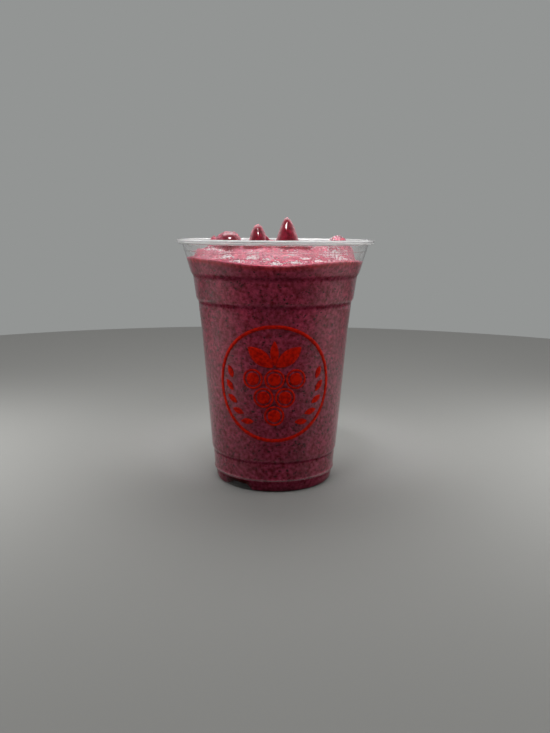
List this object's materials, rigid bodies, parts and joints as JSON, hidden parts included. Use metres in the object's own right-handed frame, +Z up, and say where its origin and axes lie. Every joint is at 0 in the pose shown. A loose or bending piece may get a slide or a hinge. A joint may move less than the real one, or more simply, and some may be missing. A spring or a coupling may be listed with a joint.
{
  "type": "berry smoothie",
  "caption": "Thick berry smoothie poured into a clear takeaway cup, with a mound and pulled-up peaks standing over the rim.",
  "frame": {"origin": "centre of the cup's foot, on the surface that it stands on", "axes": "+Z up along the cup's axis; -Y is the front, with the print and the low side of the drink; +X is to its right"},
  "size_m": [0.0982, 0.0982, 0.1323],
  "materials": {
    "clear_cup": "clear thin moulded plastic sheet, glossy",
    "berry_drink": "thick wet blended fruit with dark flecks of skin and small bubbles"
  },
  "bodies": {
    "root": {"cup": "clear_cup", "smoothie": "berry_drink"}
  },
  "joints": []
}
